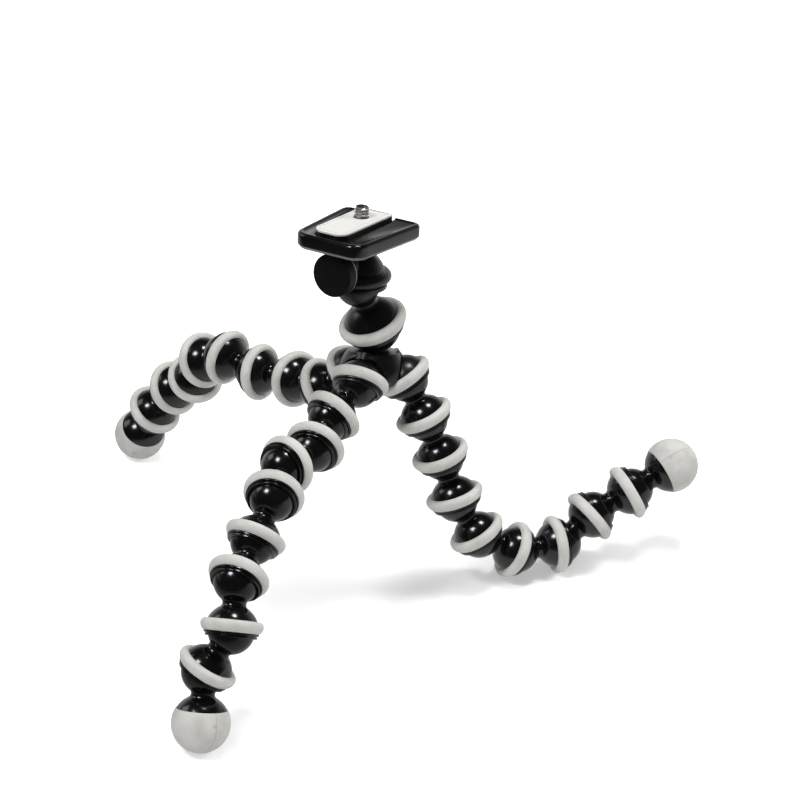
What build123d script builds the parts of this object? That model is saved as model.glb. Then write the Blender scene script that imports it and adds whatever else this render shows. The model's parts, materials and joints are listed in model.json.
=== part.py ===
"""Flexible mini tripod in millimetres, +Z up, standing on Z = 0 under the middle of its box.

A hub carries three legs, each a chain of ball-and-socket links with rubber grip rings and a rubber
foot. A neck link joins the hub to the camera head, which has a lock knob, a tray and a
quick-release plate with the camera screw.
"""

import os
from dataclasses import dataclass
from math import asin, cos, degrees, isclose, pi, radians, sin, sqrt

from build123d import *

# Leg balls, sockets and necks
BALL_RADIUS = 9.45
BALL_END = 7.2
SOCKET_GAP = 0.1
SOCKET_WALL = 1.45
LIP_LENGTH = 2.5
LIP_RIM = 1.3
COLLAR_LENGTH = 0.9
COLLAR_PROUD = 0.1
NECK_RADIUS = 4.8
NECK_BLEND = 1.75

# Leg grip rings, measured from the plane of the widest circle
RING_PROUD = 1.7
RING_SETBACK = 2.6
RING_DOME_SIDE = 1.8
RING_LIP_SIDE = 3.0
RING_SEAT_DEPTH = 0.5

# Feet
FOOT_RADIUS = 12.0
FOOT_EDGE = 5.7
FOOT_STEP = 0.25
FOOT_STUD_RADIUS = 7.0
FOOT_STUD_LENGTH = 3.0

# Hub with its larger ball, and the neck link that rides on it
HUB_BALL_RADIUS = 11.15
HUB_BALL_END = 8.5
HUB_BALL_RISE = 3.5
HUB_NECK_RADIUS = 6.2
HUB_NECK_LENGTH = 0.4
HUB_CAP_RADIUS = 11.3
HUB_CAP_DROP = 1.8
HUB_CAP_EDGE = 0.5
HUB_WEB_RADIUS = 14.7
HUB_WEB_LENGTH = 11.9
HUB_SPLAY = 36.9
HUB_RING_GAP = 1.15
HUB_ARCH_GAP = 1.4
HUB_STEM_RADIUS = 5.0
HUB_STEM_HOLD = 1.2
NECK_SOCKET_WALL = 1.75
NECK_LIP_LENGTH = 2.9
NECK_RING_PROUD = 2.0
NECK_RING_SETBACK = 3.1
NECK_RING_DOME_SIDE = 2.1
NECK_RING_LIP_SIDE = 3.5
NECK_LINK_BLEND = 2.2

# Head socket, above and below the centre of the ball that it holds
HEAD_WALL = 2.85
HEAD_LIP_DROP = 0.5
HEAD_LIP_HEIGHT = 1.9
HEAD_GROOVE_DEPTH = 0.7
HEAD_GROOVE_HEIGHT = 0.8
HEAD_FLANGE_RADIUS = 14.1
HEAD_FLANGE_HEIGHT = 4.8
HEAD_FLANGE_CROWN = 2.15
HEAD_FLANGE_STEP = 0.5
HEAD_DOME_RADIUS = 11.6
HEAD_DOME_RISE = 4.0
HEAD_DOME_LEDGE = 0.8
HEAD_BOSS_RADIUS = 6.5
TRAY_RISE = 19.5

# Lock knob
KNOB_RADIUS = 9.3
KNOB_THICKNESS = 5.8
KNOB_EDGE = 0.6
KNOB_FACE = 20.3
KNOB_RISE = 9.3
KNOB_STEM_RADIUS = 3.0
KNOB_BOSS_RADIUS = 5.5
KNOB_BOSS_GAP = 0.5
KNOB_BORE_WALL = 0.8
KNOB_BORE_GAP = 0.5

# Tray and quick-release plate
TRAY_FRONT_WIDTH = 33.4
TRAY_BACK_WIDTH = 39.6
TRAY_LENGTH = 44.5
TRAY_FORWARD = 3.35
TRAY_HEIGHT = 6.9
TRAY_FLOOR = 1.8
TRAY_FRONT_CORNER = 7.0
TRAY_BACK_CORNER = 4.0
TRAY_EDGE = 1.1
TRAY_RIM = 2.4
TRAY_DISH = 0.5
PLATE_WIDTH = 15.8
PLATE_LENGTH = 37.5
PLATE_CORNER = 5.0
PLATE_OFFSET = -1.6
PLATE_FRONT_WALL = 3.6
PLATE_FLANGE = 2.5
PLATE_FLANGE_HEIGHT = 2.2
PLATE_PROUD = 2.2
PLATE_GAP = 0.35
PLATE_REST = 0.15
PAD_THICKNESS = 1.0
PAD_EDGE = 0.4

# Camera screw, a quarter-inch tripod thread
SCREW_RADIUS = 3.175
SCREW_STAND = 4.8
SCREW_THREAD_START = 0.3
SCREW_NECK_RADIUS = 2.4
SCREW_FROM_FRONT = 25.5
SCREW_HEAD_RADIUS = 6.0
SCREW_HEAD_HEIGHT = 1.5
SCREW_GAP = 0.08
SCREW_SLOT_WIDTH = 1.4
SCREW_SLOT_DEPTH = 0.8
SCREW_TIP = 0.6

# Pose: heading about +Z and fall below level of each axis, in degrees
HUB_DOWN = (-105, 76)
HUB_FIRST_HEADING = 7
NECK_POSE = (30, 70)
HEAD_UP = (62, -84)
HEAD_HEADING = -33.4
LEG_TURN = {"right": 0, "front": 120, "rear": -120}
LEG_POSE = {
    "right": [(-13, 65), (-6, 70), (-29, 70), (-8, 60), (13, 30), (17, -1), (27, -33), (18, -25)],
    "front": [(-129, 23), (-111, 15), (-126, -2), (-102, 12), (-118, 37), (-110, 23), (-102, 57),
              (-161, 54)],
    "rear": [(149, 35), (129, 8), (146, 6), (138, -4), (130, 27), (110, 51), (135, 32), (144, 52)],
}
FOOT_HEADING = {"right": 23, "front": -102, "rear": 126}
RAISED_LEG = "right"
RAISED_FOOT_FALL = -22


UPWARD = (Align.CENTER, Align.CENTER, Align.MIN)
DOWNWARD = (Align.CENTER, Align.CENTER, Align.MAX)


@dataclass(frozen=True)
class Socket:
    """Sizes of one ball socket about the centre of its ball, with the mouth along +Z."""

    ball: float
    wall: float
    lip_length: float
    ring_proud: float
    ring_setback: float
    ring_dome_side: float
    ring_lip_side: float

    @property
    def cup(self):
        return self.ball + SOCKET_GAP

    @property
    def dome(self):
        return self.cup + self.wall

    @property
    def crown(self):
        return self.dome + self.ring_proud

    @property
    def collar(self):
        return self.dome + COLLAR_PROUD

    @property
    def dome_edge(self):
        """Height where the dome ends and the grip ring starts."""
        return -self.ring_setback - self.ring_dome_side

    @property
    def lip_edge(self):
        """Height where the grip ring ends and the collar starts."""
        return self.ring_lip_side - self.ring_setback

    @property
    def seat(self):
        """Cone under the grip ring, from its dome side to its lip side."""
        start = (on_circle(self.dome, self.dome_edge) - RING_SEAT_DEPTH, self.dome_edge)
        return start, (self.collar - RING_SEAT_DEPTH, self.lip_edge)


LEG_SOCKET = Socket(BALL_RADIUS, SOCKET_WALL, LIP_LENGTH, RING_PROUD, RING_SETBACK, RING_DOME_SIDE,
                    RING_LIP_SIDE)
NECK_SOCKET = Socket(HUB_BALL_RADIUS, NECK_SOCKET_WALL, NECK_LIP_LENGTH, NECK_RING_PROUD,
                     NECK_RING_SETBACK, NECK_RING_DOME_SIDE, NECK_RING_LIP_SIDE)


def on_circle(radius, height):
    """Half width of a circle about the origin at a height, exactly zero at its poles."""
    if isclose(radius, abs(height)):
        return 0
    return sqrt(max(radius**2 - height**2, 0))


def toward(pose):
    """Unit vector of a heading about +Z and a fall below level, in degrees."""
    heading, fall = radians(pose[0]), radians(pose[1])
    return Vector(cos(fall) * cos(heading), cos(fall) * sin(heading), -sin(fall))


def turned(*edges):
    """Solid of revolution about Z of a closed outline drawn as (radius, height)."""
    return revolve(Plane.XZ * make_face(Curve() + list(edges)), Axis.Z)


def round_run(radius, centre, start, end):
    """Arc of a ball's outline about (0, centre), from one height to another."""
    heights = (start, (start + end) / 2, end)
    return ThreePointArc(*[(on_circle(radius, z - centre), z) for z in heights])


def blend_height(radius, blend):
    """Height of a neck blend's centre above the centre of the ball that it runs out of."""
    return sqrt((radius + blend) ** 2 - (NECK_RADIUS + blend) ** 2)


def pitch(dome, blend):
    """Distance along a link from its ball's centre to the centre of the dome."""
    return blend_height(BALL_RADIUS, blend) + blend_height(dome, blend)


def ball_and_neck(dome, blend):
    """Outline from the flat end of a ball to where its neck runs into a dome."""
    length, turn = pitch(dome, blend), blend_height(BALL_RADIUS, blend)
    reach = NECK_RADIUS + blend
    low = BALL_RADIUS / (BALL_RADIUS + blend)
    high = dome / (dome + blend)
    off_ball = (reach * low, turn * low)
    on_dome = (reach * high, length - (length - turn) * high)
    edges = [
        Line((0, -BALL_END), (on_circle(BALL_RADIUS, BALL_END), -BALL_END)),
        round_run(BALL_RADIUS, 0, -BALL_END, off_ball[1]),
        ThreePointArc(off_ball, (NECK_RADIUS, turn), on_dome),
    ]
    return edges, on_dome[1]


def socket_outline(socket, centre):
    """Outline of a socket from the end of its dome, over the lip and down the cup to the axis."""
    seat_start, seat_end = socket.seat
    lip = socket.lip_length
    mouth = on_circle(socket.cup, lip)
    step = socket.lip_edge + COLLAR_LENGTH
    points = [
        (on_circle(socket.dome, socket.dome_edge), socket.dome_edge), seat_start, seat_end,
        (socket.collar, socket.lip_edge), (socket.collar, step),
        (mouth + LIP_RIM, step), (mouth + LIP_RIM, lip), (mouth, lip),
    ]
    return [
        Polyline(*[(radius, centre + height) for radius, height in points]),
        round_run(socket.cup, centre, centre + lip, centre - socket.cup),
    ]


def link(socket, blend):
    """One link: a ball, a neck and a socket for the next ball."""
    centre = pitch(socket.dome, blend)
    start, dome_start = ball_and_neck(socket.dome, blend)
    dome = round_run(socket.dome, centre, dome_start, centre + socket.dome_edge)
    axis = Line((0, centre - socket.cup), (0, -BALL_END))
    return turned(*start, dome, *socket_outline(socket, centre), axis)


def grip_ring(socket):
    """Rubber ring on its seat, about the centre of the socket's ball."""
    seat_start, seat_end = socket.seat
    widest = (socket.crown, -socket.ring_setback)
    dome_end = (on_circle(socket.dome, socket.dome_edge), socket.dome_edge)
    lip_end = (socket.collar, socket.lip_edge)
    return turned(
        TangentArc(widest, dome_end, tangent=(0, -1)), Polyline(dome_end, seat_start, seat_end, lip_end),
        TangentArc(widest, lip_end, tangent=(0, 1)),
    )


def foot():
    """Foot stem with its ball and half dome, and the rubber cap moulded over its stud."""
    shell = FOOT_RADIUS - FOOT_STEP
    centre = pitch(shell, NECK_BLEND)
    start, dome_start = ball_and_neck(shell, NECK_BLEND)
    edge, stud_end = centre - FOOT_EDGE, centre + FOOT_STUD_LENGTH
    stud = [(on_circle(shell, FOOT_EDGE), edge), (FOOT_STUD_RADIUS, edge),
            (FOOT_STUD_RADIUS, stud_end), (0, stud_end)]
    stem = turned(*start, round_run(shell, centre, dome_start, edge), Polyline(*stud),
                  Line((0, stud_end), (0, -BALL_END)))
    cap = turned(
        round_run(FOOT_RADIUS, centre, edge, centre + FOOT_RADIUS),
        Polyline((0, centre + FOOT_RADIUS), (0, stud_end), (FOOT_STUD_RADIUS, stud_end),
                 (FOOT_STUD_RADIUS, edge), (on_circle(FOOT_RADIUS, FOOT_EDGE), edge)),
    )
    return Compound(children=[stem, cap])


def hub_ring_reach():
    """Distance from the hub's centre to the ring planes, so that neighbouring rings just clear."""
    across = sin(radians(HUB_SPLAY)) * sin(pi / 3)
    return (LEG_SOCKET.crown * sqrt(1 - across**2) + HUB_RING_GAP / 2) / across


def hub_socket_reach():
    """Distance from the hub's centre to the centres of its three socket balls."""
    return hub_ring_reach() + RING_SETBACK


def hub_body_outline():
    """Outline of the hub's ball, neck and cap, and of the ball that its webs lie on."""
    rise, low = HUB_BALL_RISE, HUB_BALL_RISE - on_circle(HUB_BALL_RADIUS, HUB_NECK_RADIUS)
    top = rise + HUB_BALL_END
    rim = low - HUB_CAP_DROP
    web_centre, web_end = rim - on_circle(HUB_WEB_RADIUS, HUB_CAP_RADIUS), rim - HUB_WEB_LENGTH
    return [
        Line((0, top), (on_circle(HUB_BALL_RADIUS, HUB_BALL_END), top)),
        round_run(HUB_BALL_RADIUS, rise, top, low),
        Polyline((HUB_NECK_RADIUS, low), (HUB_NECK_RADIUS, low - HUB_NECK_LENGTH),
                 (HUB_CAP_RADIUS - HUB_CAP_EDGE, rim + HUB_CAP_EDGE), (HUB_CAP_RADIUS, rim)),
        round_run(HUB_WEB_RADIUS, web_centre, rim, web_end),
        Polyline((on_circle(HUB_WEB_RADIUS, web_end - web_centre), web_end), (0, web_end), (0, top)),
    ]


def hub_socket_frames():
    """Frame of each hub socket in the hub's own frame, by leg."""
    frames = {}
    for name, turn in LEG_TURN.items():
        out = Axis.Z.direction * -1
        out = out.rotate(Axis.Y, -HUB_SPLAY).rotate(Axis.Z, -turn)
        frames[name] = Plane(origin=out * hub_socket_reach(), z_dir=out)
    return frames


def hub_socket_shell():
    """One socket of the hub about its ball centre."""
    start = Line((0, -LEG_SOCKET.dome), (0, -LEG_SOCKET.cup))
    dome = round_run(LEG_SOCKET.dome, 0, -LEG_SOCKET.dome, LEG_SOCKET.dome_edge)
    return turned(dome, *socket_outline(LEG_SOCKET, 0), start)


def hub_arch():
    """Room for one socket in the hub: a gap round its dome, and clearance for its grip ring."""
    ring_room = Cylinder(LEG_SOCKET.crown + HUB_RING_GAP / 2, 2 * hub_socket_reach(), align=UPWARD)
    start = LEG_SOCKET.dome_edge - HUB_RING_GAP / 2
    return Sphere(LEG_SOCKET.dome + HUB_ARCH_GAP) + Pos(0, 0, start) * ring_room


def hub_stem():
    """Short stem that carries one socket's dome across its arch gap."""
    length = LEG_SOCKET.wall / 2 + HUB_ARCH_GAP + HUB_STEM_HOLD
    in_wall = LEG_SOCKET.cup + LEG_SOCKET.wall / 2
    return Pos(0, 0, -in_wall) * Cylinder(HUB_STEM_RADIUS, length, align=DOWNWARD)


def hub():
    """Hub: the neck's ball over a cap and three webs that are arched round the leg sockets."""
    whole = turned(*hub_body_outline())
    body, arch, stem, shell = whole, hub_arch(), hub_stem(), hub_socket_shell()
    for frame in hub_socket_frames().values():
        body -= frame.location * arch
    for frame in hub_socket_frames().values():
        body += whole & (frame.location * stem)
        body += frame.location * shell
    return body


def head_socket():
    """Clamp socket of the head: lip, groove, flange, dome, tray boss and knob boss."""
    cup = BALL_RADIUS + SOCKET_GAP
    lip_radius = cup + HEAD_WALL
    groove_radius, flange_foot = lip_radius - HEAD_GROOVE_DEPTH, lip_radius + HEAD_FLANGE_STEP
    lip_top = HEAD_LIP_HEIGHT - HEAD_LIP_DROP
    groove_top = lip_top + HEAD_GROOVE_HEIGHT
    flange_top = groove_top + HEAD_FLANGE_HEIGHT
    dome_start = on_circle(HEAD_DOME_RADIUS, flange_top - HEAD_DOME_RISE)
    boss_start = HEAD_DOME_RISE + on_circle(HEAD_DOME_RADIUS, HEAD_BOSS_RADIUS)
    ledge = (dome_start + HEAD_DOME_LEDGE, flange_top)
    lip = Polyline(
        (on_circle(cup, HEAD_LIP_DROP), -HEAD_LIP_DROP), (lip_radius, -HEAD_LIP_DROP), (lip_radius, lip_top),
        (groove_radius, lip_top), (groove_radius, groove_top), (flange_foot, groove_top),
    )
    crown = (HEAD_FLANGE_RADIUS, groove_top + HEAD_FLANGE_CROWN)
    body = turned(
        lip, ThreePointArc((flange_foot, groove_top), crown, ledge), Line(ledge, (dome_start, flange_top)),
        round_run(HEAD_DOME_RADIUS, HEAD_DOME_RISE, flange_top, boss_start),
        Polyline((HEAD_BOSS_RADIUS, boss_start), (HEAD_BOSS_RADIUS, TRAY_RISE), (0, TRAY_RISE), (0, cup)),
        round_run(cup, 0, cup, -HEAD_LIP_DROP),
    )
    boss_face = KNOB_FACE - KNOB_THICKNESS - KNOB_BOSS_GAP
    boss = knob_place(boss_face) * Cylinder(KNOB_BOSS_RADIUS, boss_face, align=DOWNWARD)
    bore = knob_place(boss_face) * Cylinder(
        KNOB_STEM_RADIUS + SCREW_GAP, boss_face - knob_bore_end(), align=DOWNWARD
    )
    return body + (boss - Sphere(cup)) - bore


def knob_place(reach):
    """Place on the lock knob's axis, at a distance in front of the head's axis."""
    return Pos(0, -reach, KNOB_RISE) * Rot(90, 0, 0)


def knob_bore_end():
    """Distance from the head's axis to the blind end of the knob's bore, clear of the ball."""
    return on_circle(BALL_RADIUS + SOCKET_GAP, KNOB_RISE - KNOB_STEM_RADIUS) + KNOB_BORE_WALL


def lock_knob():
    """Plain round knob with its stem, facing the front of the head."""
    disc = Cylinder(KNOB_RADIUS, KNOB_THICKNESS, align=DOWNWARD)
    disc = fillet(disc.edges().filter_by(GeomType.CIRCLE), KNOB_EDGE)
    length = KNOB_FACE - KNOB_THICKNESS - knob_bore_end() - KNOB_BORE_GAP
    stem = Pos(0, 0, -KNOB_THICKNESS) * Cylinder(KNOB_STEM_RADIUS, length, align=DOWNWARD)
    return knob_place(KNOB_FACE) * (disc + stem)


def tray_front():
    """Front edge of the tray, in front of the head's axis."""
    return -TRAY_FORWARD - TRAY_LENGTH / 2


def plate_front():
    """Front edge of the quick-release plate at rest."""
    return tray_front() + PLATE_FRONT_WALL


def tray_outline():
    """Outline of the tray: narrower in front, with rounder front corners."""
    front, back = tray_front(), tray_front() + TRAY_LENGTH
    near, far = TRAY_FRONT_WIDTH / 2, TRAY_BACK_WIDTH / 2
    outline = make_face(Polyline((-near, front), (near, front), (far, back), (-far, back), close=True))
    outline = fillet(outline.vertices().sort_by(Axis.Y)[:2], TRAY_FRONT_CORNER)
    return fillet(outline.vertices().sort_by(Axis.Y)[-2:], TRAY_BACK_CORNER)


def tongue(width, length, front, bottom, height):
    """Plate outline with two round front corners, extruded."""
    outline = Pos(PLATE_OFFSET, front + length / 2) * Rectangle(width, length)
    corners = outline.vertices().sort_by(Axis.Y)[:2]
    return extrude(Pos(0, 0, bottom) * fillet(corners, PLATE_CORNER), height)


def tray():
    """Tray: a flared slab with a raised rim and an undercut channel that is open at the back."""
    outline, top = tray_outline(), TRAY_RISE + TRAY_HEIGHT
    slab = extrude(Pos(0, 0, TRAY_RISE) * outline, TRAY_HEIGHT)
    slab = fillet(slab.faces().sort_by(Axis.Z)[-1].outer_wire().edges(), TRAY_EDGE)
    slab = chamfer(slab.faces().sort_by(Axis.Z)[0].outer_wire().edges(), TRAY_EDGE)
    dish = extrude(Pos(0, 0, top - TRAY_DISH) * offset(outline, -TRAY_RIM), TRAY_DISH)
    slot, floor = plate_front() - PLATE_GAP, TRAY_RISE + TRAY_FLOOR
    wide = PLATE_WIDTH + 2 * (PLATE_FLANGE + PLATE_GAP)
    low = tongue(wide, TRAY_LENGTH, slot, floor, PLATE_FLANGE_HEIGHT + 2 * PLATE_REST)
    high = tongue(PLATE_WIDTH + 2 * PLATE_GAP, TRAY_LENGTH, slot, floor, TRAY_HEIGHT)
    return slab - dish - low - high


def quick_release_plate():
    """Plate with a flange under the tray's rails, and the pad on it, bored for the camera screw."""
    front, bottom = plate_front(), TRAY_RISE + TRAY_FLOOR + PLATE_REST
    top = TRAY_RISE + TRAY_HEIGHT + PLATE_PROUD
    under_pad = top - PAD_THICKNESS
    wide = PLATE_WIDTH + 2 * PLATE_FLANGE
    plate = tongue(wide, PLATE_LENGTH, front, bottom, PLATE_FLANGE_HEIGHT)
    plate += tongue(PLATE_WIDTH, PLATE_LENGTH, front, bottom, under_pad - bottom)
    pad = tongue(PLATE_WIDTH, PLATE_LENGTH, front, under_pad, PAD_THICKNESS)
    pad = fillet(pad.faces().sort_by(Axis.Z)[-1].outer_wire().edges(), PAD_EDGE)
    place = Pos(PLATE_OFFSET, front + SCREW_FROM_FRONT, bottom)
    hole = place * Cylinder(SCREW_RADIUS + SCREW_GAP, top, align=UPWARD)
    recess_height = SCREW_HEAD_HEIGHT + 2 * PLATE_REST
    recess = place * Cylinder(SCREW_HEAD_RADIUS + PLATE_GAP, recess_height, align=UPWARD)
    return Compound(children=[plate - hole - recess, pad - hole])


def camera_screw():
    """Captive camera screw: slotted head in the plate's underside, thin neck, and thread above the pad."""
    bottom = TRAY_RISE + TRAY_FLOOR + 2 * PLATE_REST
    thread_start = TRAY_RISE + TRAY_HEIGHT + PLATE_PROUD + SCREW_THREAD_START - bottom
    thread = Cylinder(SCREW_RADIUS, SCREW_STAND - SCREW_THREAD_START, align=UPWARD)
    thread = chamfer(thread.edges().sort_by(Axis.Z)[-1], SCREW_TIP)
    slot = Box(3 * SCREW_HEAD_RADIUS, SCREW_SLOT_WIDTH, SCREW_SLOT_DEPTH, align=UPWARD)
    head = Cylinder(SCREW_HEAD_RADIUS, SCREW_HEAD_HEIGHT, align=UPWARD) - slot
    neck = Pos(0, 0, SCREW_SLOT_DEPTH) * Cylinder(
        SCREW_NECK_RADIUS, thread_start - SCREW_SLOT_DEPTH, align=UPWARD
    )
    screw = head + neck + Pos(0, 0, thread_start) * thread
    return Pos(PLATE_OFFSET, plate_front() + SCREW_FROM_FRONT, bottom) * screw


def hub_frame(height):
    """The hub's frame with its centre at a height."""
    up = toward(HUB_DOWN) * -1
    side = toward((HUB_FIRST_HEADING, 0))
    return Plane(origin=(0, 0, height), x_dir=side - up * side.dot(up), z_dir=up)


def chain(name, ball):
    """Frames of a leg's links in order, each at its own ball with +Z to the foot, and the last ball."""
    frames = []
    for pose in LEG_POSE[name]:
        frames.append(Plane(origin=ball, z_dir=toward(pose)))
        ball = ball + toward(pose) * pitch(LEG_SOCKET.dome, NECK_BLEND)
    return frames, ball


def foot_frame(name, ball):
    """Frame of a leg's foot. One is held in the air. The others stand on the ground, and one that is too
    short to reach it hangs straight down."""
    fall = RAISED_FOOT_FALL
    if name != RAISED_LEG:
        drop, reach = ball.Z - FOOT_RADIUS, pitch(FOOT_RADIUS - FOOT_STEP, NECK_BLEND)
        fall = degrees(asin(min(drop / reach, 1)))
    return Plane(origin=ball, z_dir=toward((FOOT_HEADING[name], fall)))


def sockets_in(frame):
    """Frame of each hub socket, by leg, with the hub in a frame."""
    return {name: Plane(frame.location * place.location) for name, place in hub_socket_frames().items()}


def hub_height(ring):
    """Height of the hub's centre that stands the raised leg's lowest ring on the ground."""
    frames, _ = chain(RAISED_LEG, sockets_in(hub_frame(0))[RAISED_LEG].origin)
    on_link = Pos(0, 0, pitch(LEG_SOCKET.dome, NECK_BLEND)) * ring
    return -min((place.location * on_link).bounding_box().min.Z for place in frames)


def layout(height):
    """Frames of the whole tripod with the hub's centre at a height."""
    frame = hub_frame(height)
    legs = {}
    for name, place in sockets_in(frame).items():
        links, ball = chain(name, place.origin)
        legs[name] = links + [foot_frame(name, ball)]
    hub_ball = frame.origin + frame.z_dir * HUB_BALL_RISE
    neck_axis = toward(NECK_POSE)
    top_ball = hub_ball - neck_axis * pitch(NECK_SOCKET.dome, NECK_LINK_BLEND)
    up, side = toward(HEAD_UP), toward((HEAD_HEADING, 0))
    return {
        "hub": frame,
        "sockets": sockets_in(frame),
        "legs": legs,
        "neck": Plane(origin=top_ball, z_dir=neck_axis),
        "head": Plane(origin=top_ball, x_dir=side - up * side.dot(up), z_dir=up),
    }


def build():
    """Every node of the tripod by name, in its place."""
    leg_link, leg_ring, leg_foot = link(LEG_SOCKET, NECK_BLEND), grip_ring(LEG_SOCKET), foot()
    frames = layout(hub_height(leg_ring))
    to_socket = Pos(0, 0, pitch(LEG_SOCKET.dome, NECK_BLEND))
    nodes = {"hub": frames["hub"].location * hub()}
    nodes["hub_rings"] = Compound(
        children=[place.location * leg_ring for place in frames["sockets"].values()]
    )
    for name, places in frames["legs"].items():
        for number, place in enumerate(places[:-1], start=1):
            nodes[f"{name}_link_{number}"] = place.location * leg_link
            nodes[f"{name}_ring_{number}"] = place.location * to_socket * leg_ring
        nodes[f"{name}_foot"] = places[-1].location * leg_foot
    neck, head = frames["neck"].location, frames["head"].location
    nodes["neck_link"] = neck * link(NECK_SOCKET, NECK_LINK_BLEND)
    nodes["neck_ring"] = neck * Pos(0, 0, pitch(NECK_SOCKET.dome, NECK_LINK_BLEND)) * grip_ring(NECK_SOCKET)
    for make in (head_socket, lock_knob, tray, quick_release_plate, camera_screw):
        nodes[make.__name__] = head * make()
    return nodes, frames


def middle(shapes):
    """Ground point under the middle of the box round the shapes."""
    boxes = [shape.bounding_box() for shape in shapes]
    x = (min(box.min.X for box in boxes) + max(box.max.X for box in boxes)) / 2
    y = (min(box.min.Y for box in boxes) + max(box.max.Y for box in boxes)) / 2
    return Vector(x, y, 0)


def main():
    """Build the tripod, move its origin under the middle of its box and write each node."""
    nodes, _ = build()
    shift = Pos(middle(nodes.values()) * -1)
    os.makedirs("parts", exist_ok=True)
    for name, shape in nodes.items():
        export_step(shift * shape, f"parts/{name}.step")
        print(name, round(shape.volume, 1))


if __name__ == "__main__":
    main()
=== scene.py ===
"""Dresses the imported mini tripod: glossy links, rubber grip rings and feet, hub and camera head."""

import json
import logging
from dataclasses import dataclass, field
from enum import Enum
from math import acos, atan2, ceil, cos, degrees, pi, radians, sin, sqrt, tan
from typing import Iterable

import bmesh
import bpy
from mathutils import Matrix, Vector


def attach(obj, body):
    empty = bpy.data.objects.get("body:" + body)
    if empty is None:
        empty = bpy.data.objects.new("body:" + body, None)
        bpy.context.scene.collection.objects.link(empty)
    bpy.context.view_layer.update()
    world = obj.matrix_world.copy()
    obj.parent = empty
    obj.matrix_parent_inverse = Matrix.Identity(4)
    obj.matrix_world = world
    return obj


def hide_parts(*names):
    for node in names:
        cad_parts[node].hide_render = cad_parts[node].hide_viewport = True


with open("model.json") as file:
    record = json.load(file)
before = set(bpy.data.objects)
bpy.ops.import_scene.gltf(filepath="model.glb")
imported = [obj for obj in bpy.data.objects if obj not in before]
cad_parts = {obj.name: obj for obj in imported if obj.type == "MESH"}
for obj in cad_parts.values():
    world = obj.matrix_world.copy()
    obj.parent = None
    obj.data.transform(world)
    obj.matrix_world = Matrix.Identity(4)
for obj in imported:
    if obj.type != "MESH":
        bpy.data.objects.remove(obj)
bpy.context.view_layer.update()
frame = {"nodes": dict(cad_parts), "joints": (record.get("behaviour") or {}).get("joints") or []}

MM = 0.001
LEGS = ("right", "front", "rear")
LINKS_PER_LEG = 8
SEAM_SIDE = {"right": (-0.07, -0.64, 0.77), "front": (0.54, -0.83, 0.10), "rear": (0.25, -0.80, 0.55)}
LOG = logging.getLogger("tripod")

Colour = tuple[float, float, float]
Point = tuple[float, float]
Source = bpy.types.NodeSocket | float | tuple


class Slot(Enum):
    """Material slots of the record that pieces take their finish from."""

    GLOSS = "black_plastic"
    SATIN = "satin_black"
    RUBBER = "grip_rubber"
    PLATE = "plate_plastic"
    STEEL = "screw_steel"


class Sheen(Enum):
    """How polished the mould was: base roughness, how much it wanders, and how strongly it mirrors."""

    POLISHED = (0.17, 0.05, 0.5)
    SATIN = (0.29, 0.08, 0.45)
    MATT = (0.50, 0.08, 0.16)


@dataclass(frozen=True)
class Joint:
    """Where a joint of the tripod turns, in metres, and about which axis."""

    centre: Vector
    axis: Vector


def joint_table() -> dict[str, Joint]:
    """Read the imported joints.

    Returns:
        Each joint by its name.
    """
    table = {}
    for entry in frame["joints"]:
        centre = Vector(entry.get("pos_m", (0, 0, 0)))
        table[entry["name"]] = Joint(centre, Vector(entry["axis"]).normalized())
    return table


def facing(origin: Vector, forward: Vector, side: Vector = Vector((0.31, 0.21, 0.93))) -> Matrix:
    """Place a piece drawn in millimetres about its own +Z axis.

    Args:
        origin: Where its origin goes, in metres.
        forward: Direction of its +Z axis.
        side: Rough direction of its +X axis.

    Returns:
        The matrix from the piece's millimetres to the frame's metres.
    """
    z_axis = forward.normalized()
    x_axis = (side - z_axis * side.dot(z_axis)).normalized()
    y_axis = z_axis.cross(x_axis)
    turn = Matrix((x_axis, y_axis, z_axis)).transposed().to_4x4()
    return Matrix.Translation(origin) @ turn @ Matrix.Scale(MM, 4)


def circle_centre(first: Vector, second: Vector, third: Vector) -> Vector:
    """Centre of the circle through three points of a plane."""
    one, two = second - first, third - first
    scale = 2.0 * (one.x * two.y - one.y * two.x)
    x = (two.y * one.length_squared - one.y * two.length_squared) / scale
    y = (one.x * two.length_squared - two.x * one.length_squared) / scale
    return first + Vector((x, y))


def half_width(radius: float, height: float) -> float:
    """Half width of a circle about the origin at a height."""
    return sqrt(max(radius * radius - height * height, 0.0))


def angle_at(radius: float, height: float) -> float:
    """Angle above level, in degrees, of the point of such a circle at a height."""
    return degrees(atan2(height, half_width(radius, height)))


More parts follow.
